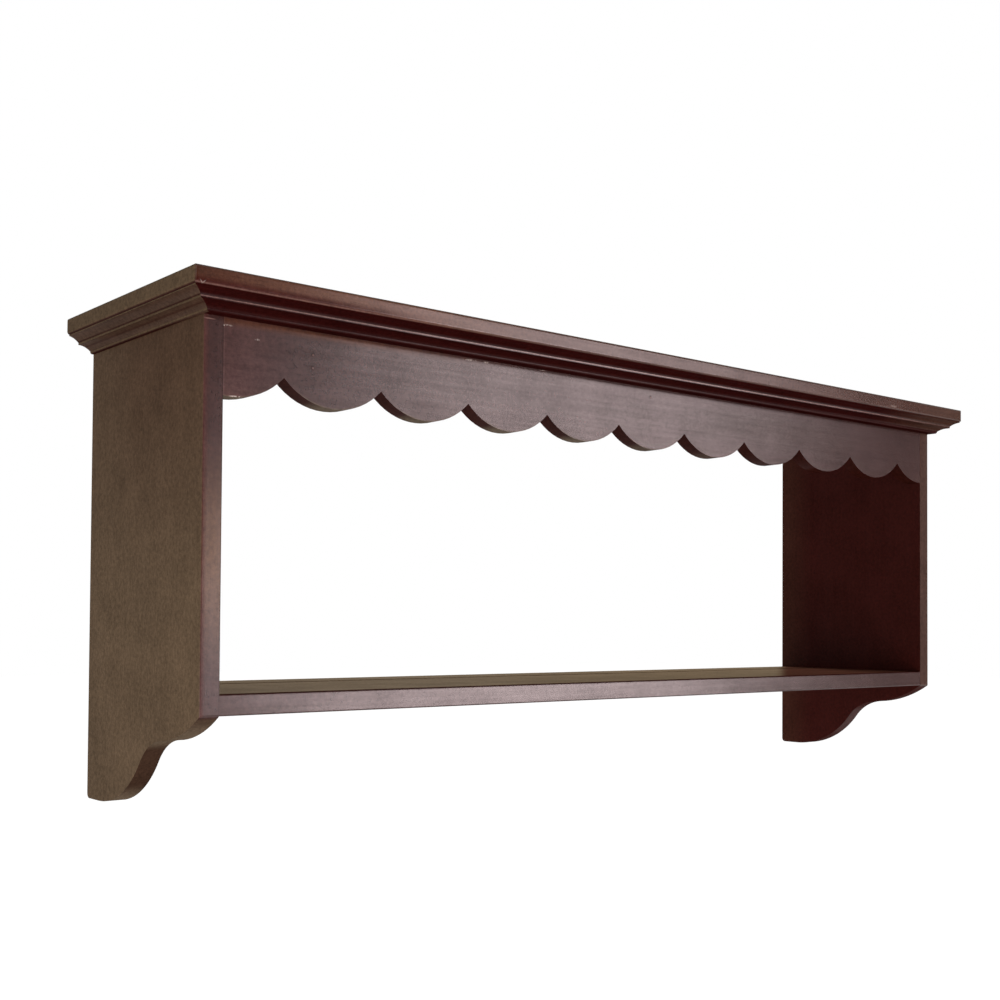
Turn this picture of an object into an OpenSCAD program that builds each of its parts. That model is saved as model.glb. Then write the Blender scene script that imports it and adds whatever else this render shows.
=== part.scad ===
// Wall plate rack, in millimetres: two side boards with ogee feet carry a grooved shelf and a
// moulded top, and a scalloped apron hangs under the top. The back is open.
// +X runs along the rack, +Y points into the wall and +Z up. The origin lies on the wall,
// midway between the round holes of the two keyhole hangers.

/* [Case] */
// Width over the two side boards
rack_w = 1100; // [800:5:1600]
// Depth of the side boards and the shelf, from the wall to their front edges
rack_d = 236; // [205:1:300]
// Height of the side boards, from their feet to the top board
side_h = 456; // [400:1:700]
// Thickness of the side boards
side_t = 19; // [17:0.5:25]
// Thickness of the shelf
shelf_t = 19; // [14:0.5:25]
// Height of the shelf's underside above the feet, where the front edges end
shelf_h = 93; // [80:1:120]
// Rounding of the free front arrises of the boards
arris_r = 1.2; // [0.5:0.1:2]

/* [Feet] */
// Flat length under each foot, from the wall forwards
toe_flat = 28; // [20:1:40]
// Radius of the toe, which rises from that flat
toe_r = 116; // [100:1:125]
// Radius of the hollow in front of the toe
hollow_r = 58; // [45:1:65]
// Height of the hollow's centre above the feet
hollow_h = 9.5; // [4:0.5:15]
// Radius of the nose, from the hollow up to the front edge
nose_r = 150; // [120:1:200]
// Rounding between the nose and the front edge
nose_ease = 3; // [1:0.5:5]
// Rounding of the foot's corner at the wall
heel_r = 5; // [2:0.5:10]

/* [Top board] */
// Thickness of the top board
top_t = 16; // [15:0.5:25]
// Overhang of the top board past the front edges
top_front = 36; // [36:1:50]
// Overhang of the top board past the side boards
top_side = 27; // [26:1:40]
// Rounding of the top board's lower arris
top_lower_r = 3; // [1:0.5:5]
// Rounding of the top board's upper arris
top_upper_r = 2.5; // [1:0.5:4]
// Rounding of the top board's front corners, seen from above
top_corner_r = 3; // [1:0.5:8]

/* [Cornice] */
// Height of the moulding under the top board
cornice_h = 16; // [15:0.5:22]
// Projection of the moulding from its foot to its top
cornice_w = 25; // [23:0.5:26]
// Distance of the front moulding's foot in front of the case
cornice_step = 9; // [5:0.5:10]
// Height of the flat lip above the upper cove
cornice_lip = 1; // [0.5:0.1:1.5]
// Radius of the two coves
cove_r = 18; // [15:0.5:40]
// Projection of the fillet between the two coves
fillet_w = 15.6; // [15:0.1:17]
// Height of the fillet's underside above the foot of the moulding
fillet_h = 7.4; // [7:0.1:8]
// Height of the fillet's face
fillet_t = 2; // [1.5:0.1:2.6]
// Flat underside of the fillet, in front of the lower cove
fillet_lip = 1.4; // [0.5:0.1:2]
// Projection of the bead at the foot of the moulding
bead_w = 3.4; // [2.8:0.1:4.4]
// Height of the bead
bead_h = 2.4; // [2.2:0.1:3]
// Rounding of the bead's lower arris
bead_r = 2; // [0.5:0.1:2.2]

/* [Apron] */
// Thickness of the apron
apron_t = 18; // [16:0.5:22]
// Height of the apron, from the top board to the lowest points of its scallops
apron_h = 85; // [78:1:110]
// Distance from one scallop to the next
scallop_pitch = 105.3; // [90:0.1:115]
// Radius of the scallops
scallop_r = 72; // [68:0.5:90]
// Shift of the middle scallop to the right of the rack's middle
scallop_shift = 3.4; // [0:0.1:10]

/* [Plate groove] */
// Distance of the groove's middle from the wall
groove_y = 62; // [40:1:90]
// Width of the groove in the shelf
groove_w = 11; // [8:0.5:14]
// Depth of the groove in the shelf
groove_depth = 3; // [2:0.5:4]

/* [Dowels] */
// Diameter of the dowels
dowel_d = 8; // [6:0.5:9]
// Reach of a dowel into the end or the edge of a board
dowel_end = 20; // [15:1:24]
// Reach of a dowel into the face of a board
dowel_face = 12; // [9:0.5:13]
// Chamfer at the ends of a dowel
dowel_chamfer = 1; // [0.5:0.1:1.5]
// Gap between a dowel and its hole, all round
dowel_fit = 0.05; // [0.02:0.01:0.1]
// Spare depth past each end of a dowel, for glue
dowel_spare = 0.6; // [0.3:0.1:0.9]
// Number of dowels in each end of the shelf
shelf_dowels = 3; // [2:1:4]
// Number of dowels in the top edge of each side board
top_dowels = 3; // [2:1:4]
// Distance of the outermost of these dowels from the front and the wall
dowel_margin = 34; // [30:1:45]
// Depth of the upper apron dowel below the top board
apron_dowel_high = 16; // [13:0.5:20]
// Depth of the lower apron dowel below the top board
apron_dowel_low = 44; // [35:1:55]

/* [Glue blocks] */
// Length of the glue blocks behind the apron
block_w = 60; // [40:1:90]
// Depth of the glue blocks, behind the apron
block_d = 22; // [18:1:30]
// Height of the glue blocks, below the top board
block_h = 54; // [51:1:60]
// Chamfer along the free corner of the glue blocks
block_chamfer = 12; // [5:1:15]
// Distance of the outer blocks' middles from the side boards
block_margin = 90; // [60:1:150]

/* [Pins] */
// Diameter of the panel pins
pin_d = 1.4; // [1.2:0.1:2]
// Length of the panel pins in the returns and the apron
pin_l = 25; // [20:1:28]
// Depth at which the pins are set and filled over
pin_set = 2; // [1:0.5:3]
// Gap between a pin and its hole, all round
pin_fit = 0.02; // [0.01:0.01:0.05]
// Reach of the front moulding's pins into the apron
front_pin_in = 13; // [8:0.5:15]
// Number of pins in the front moulding
front_pins = 5; // [3:1:9]
// Distance of the outermost of them from the ends of the case
front_pin_margin = 70; // [50:1:120]
// Distance of the front pin in each return moulding from the front edges
return_pin_front = 50; // [45:1:58]
// Distance of the rear pin in each return moulding from the wall
return_pin_rear = 60; // [52:1:70]
// Depth of the upper apron pins below the top board
apron_pin_high = 37; // [32:0.5:40]
// Depth of the lower apron pins below the top board
apron_pin_low = 49; // [45:0.5:49]
// Depth of the middle apron pin below the top board
apron_pin_middle = 26; // [22:0.5:42]

/* [Keyhole hangers] */
// Depth of the keyholes' round holes below the top board
hang_drop = 62; // [50:1:120]
// Width of the hanger plates
plate_w = 15; // [14:0.5:16]
// Thickness of the hanger plates
plate_t = 2; // [1.5:0.1:3]
// Reach of the hanger plates below the round hole
plate_below = 20; // [18:1:26]
// Reach of the hanger plates above the round hole
plate_above = 30; // [28:1:36]
// Gap between a hanger plate and its recess, all round
plate_fit = 0.2; // [0.1:0.05:0.4]
// Diameter of the keyhole's round hole, which passes the wall screw's head
keyhole_d = 10; // [8:0.5:10.5]
// Width of the keyhole's slot, which takes the wall screw's shank
keyhole_slot_w = 5; // [4:0.5:6]
// Travel of the rack down over the wall screws
keyhole_travel = 12; // [8:0.5:13]
// Depth of the pocket for the wall screw's head, behind the plate
pocket_depth = 9; // [6:0.5:14]
// Room round the wall screw's head in that pocket
pocket_room = 0.8; // [0.5:0.1:1]
// Distance of the plate's screws from its ends
plate_screw_margin = 6; // [4.5:0.5:7]
// Shank diameter of the plate's screws
plate_screw_d = 3; // [2.5:0.1:3.5]
// Length of the plate's screws
plate_screw_l = 16; // [12:1:20]
// Head diameter of the plate's screws
plate_screw_head_d = 5.8; // [5:0.1:6.4]
// Height of the countersunk heads
plate_screw_head_h = 1.4; // [1:0.1:1.5]
// Gap between a screw and its holes, all round
plate_screw_fit = 0.03; // [0.02:0.01:0.05]

/* [Hidden] */
$fn = 96;
// How far cutters run past the faces that they cut
over = 1;

// Levels, measured from the keyholes
case_z = hang_drop;
foot_z = case_z - side_h;
shelf_z = foot_z + shelf_h;
shelf_top_z = shelf_z + shelf_t;
cornice_z = case_z - cornice_h;
fillet_z = cornice_z + fillet_h;
top_z = case_z + top_t;
scallop_z = case_z - apron_h;
cusp_z = scallop_z + scallop_r - sqrt(scallop_r * scallop_r - pow(scallop_pitch / 2, 2));

// Faces of the case
front_y = -rack_d;
outer_x = rack_w / 2;
inner_x = outer_x - side_t;
inner_w = 2 * inner_x;
apron_back_y = front_y + apron_t;
top_x = outer_x + top_side;
top_y = front_y - top_front;
cornice_y = front_y - cornice_step;

// The foot's outline in the plane of a side board: circles that touch each other
toe_c = [-toe_flat, foot_z + toe_r];
hollow_c = [toe_c.x - sqrt(pow(toe_r + hollow_r, 2) - pow(toe_r - hollow_h, 2)), foot_z + hollow_h];
front_corner = [front_y, shelf_z];
nose_c = circles_meet(front_corner, nose_r, hollow_c, nose_r + hollow_r);
ease_run = front_y + nose_ease - nose_c.x;
ease_c = [front_y + nose_ease, nose_c.y - sqrt(pow(nose_r - nose_ease, 2) - pow(ease_run, 2))];
toe_touch = between(toe_c, hollow_c, toe_r);
nose_touch = between(nose_c, hollow_c, nose_r);
ease_touch = between(nose_c, ease_c, nose_r);

// Rows of fastenings
shelf_dowel_ys = spread(shelf_dowels, front_y + dowel_margin, -dowel_margin);
top_dowel_ys = spread(top_dowels, front_y + dowel_margin, -dowel_margin);
apron_dowel_zs = [case_z - apron_dowel_high, case_z - apron_dowel_low];
apron_dowel_y = front_y + apron_t / 2;
dowel_l = dowel_end + dowel_face;
block_xs = [-inner_x + block_margin, 0, inner_x - block_margin];
front_pin_xs = spread(front_pins, -outer_x + front_pin_margin, outer_x - front_pin_margin);
return_pin_ys = [front_y + return_pin_front, -return_pin_rear];
cornice_pin_z = fillet_z + fillet_t / 2;
// Reach of a return's pin from the face of the case, outwards and inwards
return_pin_out = fillet_w - pin_set;
return_pin_in = pin_l - return_pin_out;
front_pin_out = cornice_step + fillet_w - pin_set;
plate_screw_zs = [-plate_below + plate_screw_margin, plate_above - plate_screw_margin];
// The apron's pins as [x, z]: two into each outer block and one into the middle block
apron_pin_places = concat(
    [for (x = [block_xs[0], block_xs[2]], depth = [apron_pin_high, apron_pin_low]) [x, case_z - depth]],
    [[block_xs[1], case_z - apron_pin_middle]]
);

scallops_each_way = ceil((inner_x + scallop_shift) / scallop_pitch);
// A round groove of the stated width and depth has this radius
groove_r = (groove_w * groove_w / 4 + groove_depth * groove_depth) / (2 * groove_depth);
dowel_hole_r = dowel_d / 2 + dowel_fit;
face_hole = dowel_face + dowel_spare;
end_hole = dowel_end + dowel_spare;
pin_hole_r = pin_d / 2 + pin_fit;
pocket_r = keyhole_d / 2 + pocket_room;

wood = "#5a2f2a";
raw_wood = "#c9a574";
zinc = "#b9bcc0";
steel = "#8b8d90";

// Evenly spaced values, n of them, from a to b
function spread(n, a, b) = [for (i = [0:n - 1]) a + (b - a) * i / (n - 1)];

// The point at a given distance from p, on the line from p through q
function between(p, q, distance) = p + (q - p) * distance / norm(q - p);

// The upper of the two points at distance r from p and s from q
function circles_meet(p, r, q, s) =
    let (d = norm(q - p), along = (r * r - s * s + d * d) / (2 * d), unit = (q - p) / d)
    p + along * unit + sqrt(r * r - along * along) * [-unit.y, unit.x];

// A section drawn as [y, z], run along X from x over a length
module along_x(x, length) translate([x, 0, 0]) rotate([90, 0, 90]) linear_extrude(length) children();

// A section drawn as [x, z], run along Y from y over a length
module along_y(y, length) translate([0, y + length, 0]) rotate([90, 0, 0]) linear_extrude(length) children();

// The waste of a rounded corner: the corner at the origin, the board towards +x and +y
module corner_waste(r) difference() {
    translate([-over, -over]) square(r + over);
    translate([r, r]) circle(r);
}

// A straight round bar along X, Y or Z between two values on that axis
module bar_x(x0, x1, y, z, r) translate([x0, y, z]) rotate([0, 90, 0]) cylinder(h = x1 - x0, r = r);
module bar_y(y0, y1, x, z, r) translate([x, y1, z]) rotate([90, 0, 0]) cylinder(h = y1 - y0, r = r);
module bar_z(z0, z1, x, y, r) translate([x, y, z0]) cylinder(h = z1 - z0, r = r);

// What the saw takes away below a side board's front edge, drawn as [y, z]
module foot_waste() {
    floor_z = foot_z - over;
    difference() {
        translate([front_y - over, floor_z]) square([nose_touch.x - front_y + over, shelf_z - floor_z]);
        translate(nose_c) circle(nose_r);
    }
    difference() {
        translate([front_y - over, floor_z]) square([ease_touch.x - front_y + over, ease_c.y - floor_z]);
        translate(ease_c) circle(nose_ease);
    }
    translate(hollow_c) circle(hollow_r);
    translate([hollow_c.x - hollow_r, floor_z]) square([2 * hollow_r, hollow_c.y - floor_z]);
    difference() {
        translate([toe_touch.x, floor_z]) square([toe_c.x - toe_touch.x, toe_touch.y - floor_z]);
        translate(toe_c) circle(toe_r);
    }
}

// A dowel lying along +X from the origin
module dowel() rotate([0, 90, 0]) rotate_extrude()
    polygon([
        [0, 0], [dowel_d / 2 - dowel_chamfer, 0], [dowel_d / 2, dowel_chamfer],
        [dowel_d / 2, dowel_l - dowel_chamfer], [dowel_d / 2 - dowel_chamfer, dowel_l], [0, dowel_l]
    ]);

// The hanger's recess, its screw holes and the pocket for the wall screw's head
module hanger_recess() {
    along_y(-plate_t, plate_t + over) plate_outline(plate_fit);
    along_y(-plate_t - pocket_depth, pocket_depth + over) keyhole(pocket_r, pocket_r);
    for (z = plate_screw_zs)
        bar_y(-plate_screw_l - dowel_spare, 0, 0, z, plate_screw_d / 2 + plate_screw_fit);
}

// A hanger plate's outline as [x, z], larger all round by grow
module plate_outline(grow) {
    end_r = plate_w / 2;
    low_z = -plate_below + end_r;
    high_z = plate_above - end_r;
    translate([-end_r - grow, low_z]) square([plate_w + 2 * grow, high_z - low_z]);
    for (z = [low_z, high_z]) translate([0, z]) circle(end_r + grow);
}

// A keyhole as [x, z]: a round hole and a slot that runs up from it
module keyhole(hole_r, slot_r) {
    circle(hole_r);
    translate([-slot_r, 0]) square([2 * slot_r, keyhole_travel]);
    translate([0, keyhole_travel]) circle(slot_r);
}

// The left side board; the right one is its mirror image
module side_board() color(wood) difference() {
    along_x(-outer_x, side_t) difference() {
        translate([front_y, foot_z]) square([rack_d, side_h]);
        foot_waste();
        translate([0, foot_z]) mirror([1, 0]) corner_waste(heel_r);
    }
    translate([-outer_x, front_y, foot_z - over]) linear_extrude(side_h + 2 * over) corner_waste(arris_r);
    for (y = shelf_dowel_ys)
        bar_x(-inner_x - face_hole, -inner_x + over, y, shelf_z + shelf_t / 2, dowel_hole_r);
    for (z = apron_dowel_zs)
        bar_x(-inner_x - face_hole, -inner_x + over, apron_dowel_y, z, dowel_hole_r);
    for (y = top_dowel_ys)
        bar_z(case_z - end_hole, case_z + over, -outer_x + side_t / 2, y, dowel_hole_r);
    for (y = return_pin_ys)
        bar_x(-outer_x - over, -outer_x + return_pin_in, y, cornice_pin_z, pin_hole_r);
    translate([-outer_x + side_t / 2, 0, 0]) hanger_recess();
}
module left_side() side_board();
module right_side() mirror([1, 0, 0]) side_board();

// A section of the top board between two values, with rounded arrises at the first one
module eased_section(from, to) difference() {
    translate([from, case_z]) square([to - from, top_t]);
    translate([from, case_z]) corner_waste(top_lower_r);
    translate([from, top_z]) mirror([0, 1]) corner_waste(top_upper_r);
}

module top_board() color(wood) difference() {
    intersection() {
        along_x(-top_x, 2 * top_x) eased_section(top_y, 0);
        along_y(top_y, -top_y) eased_section(-top_x, top_x);
        along_y(top_y, -top_y) mirror([1, 0]) eased_section(-top_x, top_x);
    }
    for (side = [0, 1]) mirror([side, 0, 0]) {
        translate([-top_x, top_y, case_z - over]) linear_extrude(top_t + 2 * over) corner_waste(top_corner_r);
        for (y = top_dowel_ys)
            bar_z(case_z - over, case_z + face_hole, -outer_x + side_t / 2, y, dowel_hole_r);
    }
}

module shelf_board() color(wood) difference() {
    along_x(-inner_x, inner_w) difference() {
        translate([front_y, shelf_z]) square([rack_d, shelf_t]);
        translate([front_y, shelf_z]) corner_waste(arris_r);
        translate([front_y, shelf_top_z]) mirror([0, 1]) corner_waste(arris_r);
        translate([-groove_y, shelf_top_z - groove_depth + groove_r]) circle(groove_r);
    }
    for (side = [0, 1], y = shelf_dowel_ys) mirror([side, 0, 0])
        bar_x(-inner_x - over, -inner_x + end_hole, y, shelf_z + shelf_t / 2, dowel_hole_r);
}

// The apron's outline as [x, z]: a straight board whose lower edge is a row of round scallops
module apron_outline() intersection() {
    translate([-inner_x, scallop_z - over]) square([inner_w, apron_h + over]);
    union() {
        translate([-inner_x, cusp_z]) square([inner_w, case_z - cusp_z]);
        for (i = [-scallops_each_way:scallops_each_way])
            translate([scallop_shift + i * scallop_pitch, scallop_z + scallop_r]) circle(scallop_r);
    }
}

module scalloped_apron() color(wood) difference() {
    along_y(front_y, apron_t) apron_outline();
    for (side = [0, 1], z = apron_dowel_zs) mirror([side, 0, 0])
        bar_x(-inner_x - over, -inner_x + end_hole, apron_dowel_y, z, dowel_hole_r);
    for (x = front_pin_xs)
        bar_y(front_y - over, front_y + front_pin_in, x, cornice_pin_z, pin_hole_r);
    for (p = apron_pin_places)
        bar_y(front_y + pin_set, apron_back_y + over, p.x, p.y, pin_hole_r);
}

// The moulding's section as [projection, height], with its foot at the origin: a bead, a cove,
// a fillet, a second cove and a lip
module cornice_section() difference() {
    fillet_top = fillet_h + fillet_t;
    lip_z = cornice_h - cornice_lip;
    polygon([
        [0, 0], [bead_w, 0], [bead_w, bead_h], [fillet_w - fillet_lip, fillet_h], [fillet_w, fillet_h],
        [fillet_w, fillet_top], [cornice_w, lip_z], [cornice_w, cornice_h], [0, cornice_h]
    ]);
    translate([bead_w, 0]) mirror([1, 0]) corner_waste(bead_r);
    cove([bead_w, bead_h], [fillet_w - fillet_lip, fillet_h]);
    cove([fillet_w, fillet_top], [cornice_w, lip_z]);
}

// The hollow of a cove from its lower to its upper end
module cove(low, high) intersection() {
    translate(low) square(high - low);
    translate(circles_meet(high, cove_r, low, cove_r)) circle(cove_r);
}

// What lies between the mitres of a return moulding, or outside it the front moulding
module return_plan() polygon([
    [-outer_x, over], [-outer_x, cornice_y], [-outer_x - 2 * cornice_w, cornice_y - 2 * cornice_w],
    [-outer_x - 2 * cornice_w, over]
]);

// The front moulding, which is thicker than the returns by its step in front of the case
module cornice_front() color(wood) difference() {
    along_x(-outer_x - cornice_w, rack_w + 2 * cornice_w) {
        translate([cornice_y, cornice_z]) mirror([1, 0]) cornice_section();
        translate([cornice_y, cornice_z]) square([cornice_step, cornice_h]);
    }
    for (side = [0, 1]) mirror([side, 0, 0])
        translate([0, 0, cornice_z - over]) linear_extrude(cornice_h + 2 * over) return_plan();
    for (x = front_pin_xs)
        bar_y(front_y - front_pin_out, front_y + over, x, cornice_pin_z, pin_hole_r);
}

module return_moulding() color(wood) difference() {
    intersection() {
        along_y(cornice_y - cornice_w, cornice_w - cornice_y)
            translate([-outer_x, cornice_z]) mirror([1, 0]) cornice_section();
        translate([0, 0, cornice_z - over]) linear_extrude(cornice_h + 2 * over) return_plan();
    }
    for (y = return_pin_ys)
        bar_x(-outer_x - return_pin_out, -outer_x + over, y, cornice_pin_z, pin_hole_r);
}
module cornice_left() return_moulding();
module cornice_right() mirror([1, 0, 0]) return_moulding();

// A glue block behind the apron, by its place from the left
module glue_block(i) color(raw_wood) difference() {
    along_x(block_xs[i] - block_w / 2, block_w) polygon([
        [apron_back_y, case_z], [apron_back_y, case_z - block_h],
        [apron_back_y + block_d - block_chamfer, case_z - block_h],
        [apron_back_y + block_d, case_z - block_h + block_chamfer], [apron_back_y + block_d, case_z]
    ]);
    for (p = apron_pin_places)
        bar_y(apron_back_y - over, front_y + pin_set + pin_l, p.x, p.y, pin_hole_r);
}
module glue_block_left() glue_block(0);
module glue_block_middle() glue_block(1);
module glue_block_right() glue_block(2);

module shelf_dowels_left() color(raw_wood) for (y = shelf_dowel_ys)
    translate([-inner_x - dowel_face, y, shelf_z + shelf_t / 2]) dowel();
module shelf_dowels_right() mirror([1, 0, 0]) shelf_dowels_left();

module apron_dowels_left() color(raw_wood) for (z = apron_dowel_zs)
    translate([-inner_x - dowel_face, apron_dowel_y, z]) dowel();
module apron_dowels_right() mirror([1, 0, 0]) apron_dowels_left();

module top_dowels_left() color(raw_wood) for (y = top_dowel_ys)
    translate([-outer_x + side_t / 2, y, case_z - dowel_end]) rotate([0, -90, 0]) dowel();
module top_dowels_right() mirror([1, 0, 0]) top_dowels_left();

module cornice_pins_front() color(steel) for (x = front_pin_xs)
    bar_y(front_y - front_pin_out, front_y + front_pin_in, x, cornice_pin_z, pin_d / 2);
module cornice_pins_left() color(steel) for (y = return_pin_ys)
    bar_x(-outer_x - return_pin_out, -outer_x + return_pin_in, y, cornice_pin_z, pin_d / 2);
module cornice_pins_right() mirror([1, 0, 0]) cornice_pins_left();
module apron_pins() color(steel) for (p = apron_pin_places)
    bar_y(front_y + pin_set, front_y + pin_set + pin_l, p.x, p.y, pin_d / 2);

module hanger_plate() color(zinc) difference() {
    along_y(-plate_t, plate_t) difference() {
        plate_outline(0);
        keyhole(keyhole_d / 2, keyhole_slot_w / 2);
    }
    for (z = plate_screw_zs) translate([0, 0, z]) {
        bar_y(-plate_t - over, over, 0, 0, plate_screw_d / 2 + plate_screw_fit);
        translate([0, over, 0]) rotate([90, 0, 0]) rotate_extrude() countersink(plate_screw_fit);
    }
}

// Half the section of a screw's countersunk head as [radius, depth], larger by grow
module countersink(grow) polygon([
    [0, 0], [plate_screw_head_d / 2 + grow, 0], [plate_screw_head_d / 2 + grow, over],
    [plate_screw_d / 2 + grow, over + plate_screw_head_h], [0, over + plate_screw_head_h]
]);
module keyhole_hanger_left() translate([-outer_x + side_t / 2, 0, 0]) hanger_plate();
module keyhole_hanger_right() mirror([1, 0, 0]) keyhole_hanger_left();

module hanger_screws_left() color(zinc) for (z = plate_screw_zs)
    translate([-outer_x + side_t / 2, 0, z]) rotate([90, 0, 0]) rotate_extrude() polygon([
        [0, 0], [plate_screw_head_d / 2, 0], [plate_screw_d / 2, plate_screw_head_h],
        [plate_screw_d / 2, plate_screw_l - plate_screw_d], [0, plate_screw_l]
    ]);
module hanger_screws_right() mirror([1, 0, 0]) hanger_screws_left();

left_side();
right_side();
top_board();
shelf_board();
scalloped_apron();
cornice_front();
cornice_left();
cornice_right();
glue_block_left();
glue_block_middle();
glue_block_right();
shelf_dowels_left();
shelf_dowels_right();
top_dowels_left();
top_dowels_right();
apron_dowels_left();
apron_dowels_right();
cornice_pins_front();
cornice_pins_left();
cornice_pins_right();
apron_pins();
keyhole_hanger_left();
keyhole_hanger_right();
hanger_screws_left();
hanger_screws_right();
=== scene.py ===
# %% [markdown]
# # A wall plate rack in dark stained wood
#
# The rack is eight visible boards: two sides, a top, a shelf, a scalloped apron and three lengths
# of moulding. The boards arrive as finished solids, so this lesson is about their surfaces: how a
# stain, a grain and years of wax are written as arithmetic on places in space, and where light and
# shade are painted into the colour. A few small things that a saw and a plane don't make are
# modelled here: the screws of the hangers, with their slots and threads. Nail holes, nicks, rubbed
# edges and painted highlights, reflections and shade are marks in the finish, at measured places.

# %% Load the boards
import math

import bmesh
import bpy
import numpy as np
from mathutils import Matrix, Vector


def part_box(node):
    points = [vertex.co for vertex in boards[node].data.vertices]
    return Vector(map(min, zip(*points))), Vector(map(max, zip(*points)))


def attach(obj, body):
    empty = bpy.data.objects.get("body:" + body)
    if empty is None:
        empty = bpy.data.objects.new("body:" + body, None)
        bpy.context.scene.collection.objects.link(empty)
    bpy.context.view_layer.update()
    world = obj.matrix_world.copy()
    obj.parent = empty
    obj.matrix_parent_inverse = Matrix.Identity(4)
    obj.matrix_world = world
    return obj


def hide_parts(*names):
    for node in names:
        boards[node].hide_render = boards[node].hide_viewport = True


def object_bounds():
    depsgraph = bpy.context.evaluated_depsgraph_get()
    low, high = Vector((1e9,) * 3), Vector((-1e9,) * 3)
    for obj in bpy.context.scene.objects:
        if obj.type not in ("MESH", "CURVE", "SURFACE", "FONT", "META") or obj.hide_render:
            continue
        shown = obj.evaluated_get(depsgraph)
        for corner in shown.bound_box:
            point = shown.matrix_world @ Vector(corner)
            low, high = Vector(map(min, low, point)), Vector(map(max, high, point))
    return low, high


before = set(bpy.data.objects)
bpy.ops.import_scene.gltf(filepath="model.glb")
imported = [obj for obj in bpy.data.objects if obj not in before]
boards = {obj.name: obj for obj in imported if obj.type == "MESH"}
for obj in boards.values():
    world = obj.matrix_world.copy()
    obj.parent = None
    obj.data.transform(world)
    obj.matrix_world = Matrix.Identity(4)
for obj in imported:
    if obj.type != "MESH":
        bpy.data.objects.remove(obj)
cad_low, cad_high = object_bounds()
MM = 0.001
print("pieces:", len(boards), "size in mm:", [round((b - a) / MM) for a, b in zip(cad_low, cad_high)])

# %% [markdown]
# ## Where things are
#
# The planes and edges that the finish needs are worked out from the corners of the boards. Only
# single marks, such as a nail hole, have a place of their own, as measured. The rack runs along X,
# its front faces -Y and its back lies in the plane Y = 0.

# %% Places on the rack
side_low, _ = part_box("left_side")
shelf_low, shelf_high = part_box("shelf_board")
apron_low, apron_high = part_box("scalloped_apron")
top_low, top_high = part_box("top_board")
moulding_low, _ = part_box("cornice_front")

front = side_low.y
inner_x = apron_high.x
outer_x = -side_low.x
moulding_foot = moulding_low.z
print(f"front plane at {front / MM:.0f} mm, moulding's foot at {moulding_foot / MM:.0f} mm")

# %% [markdown]
# ## The camera
#
# The eye stands to the left of the rack, a little above the shelf, and close: that is why the far
# end looks so much lower than the near one. The lens's axis meets the picture a little below its
# middle, as when a photographer raises the frame and keeps the uprights upright, so the camera has
# a small upward shift.

# %% Camera
PICTURE_PX = 1000
FOCAL_PX = 1333.3
AXIS_ROW_PX = 588.3
FILM_MM = 36
EYE = Vector((-1.0797, -1.2785, -0.2177))
YAW, PITCH, ROLL = 0.6911, 0.0252, -0.0066

ahead = Vector((math.sin(YAW) * math.cos(PITCH), math.cos(YAW) * math.cos(PITCH), math.sin(PITCH)))
level_right = Vector((math.cos(YAW), -math.sin(YAW), 0))
level_down = ahead.cross(level_right)
right = math.cos(ROLL) * level_right + math.sin(ROLL) * level_down
down = math.cos(ROLL) * level_down - math.sin(ROLL) * level_right

camera = bpy.data.objects.new("camera", bpy.data.cameras.new("camera"))
camera.matrix_world = Matrix.Translation(EYE) @ Matrix((right, -down, -ahead)).transposed().to_4x4()
camera.data.sensor_width = FILM_MM
camera.data.lens = FILM_MM * FOCAL_PX / PICTURE_PX
camera.data.shift_y = (AXIS_ROW_PX - PICTURE_PX / 2) / PICTURE_PX
camera.data.clip_start = 0.05
bpy.context.scene.collection.objects.link(camera)
bpy.context.scene.camera = camera
bpy.context.scene.view_settings.view_transform = "Standard"
print(f"lens {camera.data.lens:.1f} mm, shift {camera.data.shift_y:.3f}")

# %% [markdown]
# ## Shader maths as plain expressions
#
# A shader is a sum of small pictures. Writing it node by node hides that, so a `Wire` stands for
# one output socket and the usual signs put in the Math nodes: `1 - mask * 0.3` reads as it works.
# A `Tree` holds the nodes of one material or of the world. Its `node` method makes any node from
# its type, its settings and its inputs. A `Finish` is the tree of one material.

# %% Wire
class Wire:
    """One output socket of a tree, usable in sums."""

    def __init__(self, tree, socket):
        self.tree = tree
        self.socket = socket

    def maths(self, operation, *values):
        """A Math node of the same tree, on wires and plain numbers."""
        return self.tree.node("ShaderNodeMath", {"operation": operation}, *values)

    def __add__(self, other):
        return self.maths("ADD", self, other)

    def __sub__(self, other):
        return self.maths("SUBTRACT", self, other)

    def __rsub__(self, other):
        return self.maths("SUBTRACT", other, self)

    def __mul__(self, other):
        return self.maths("MULTIPLY", self, other)

    def __truediv__(self, other):
        return self.maths("DIVIDE", self, other)

    def __neg__(self):
        return self * -1

    def __abs__(self):
        return self.maths("ABSOLUTE", self)

    __radd__ = __add__
    __rmul__ = __mul__


print("a wire knows + - * / and abs")


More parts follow.
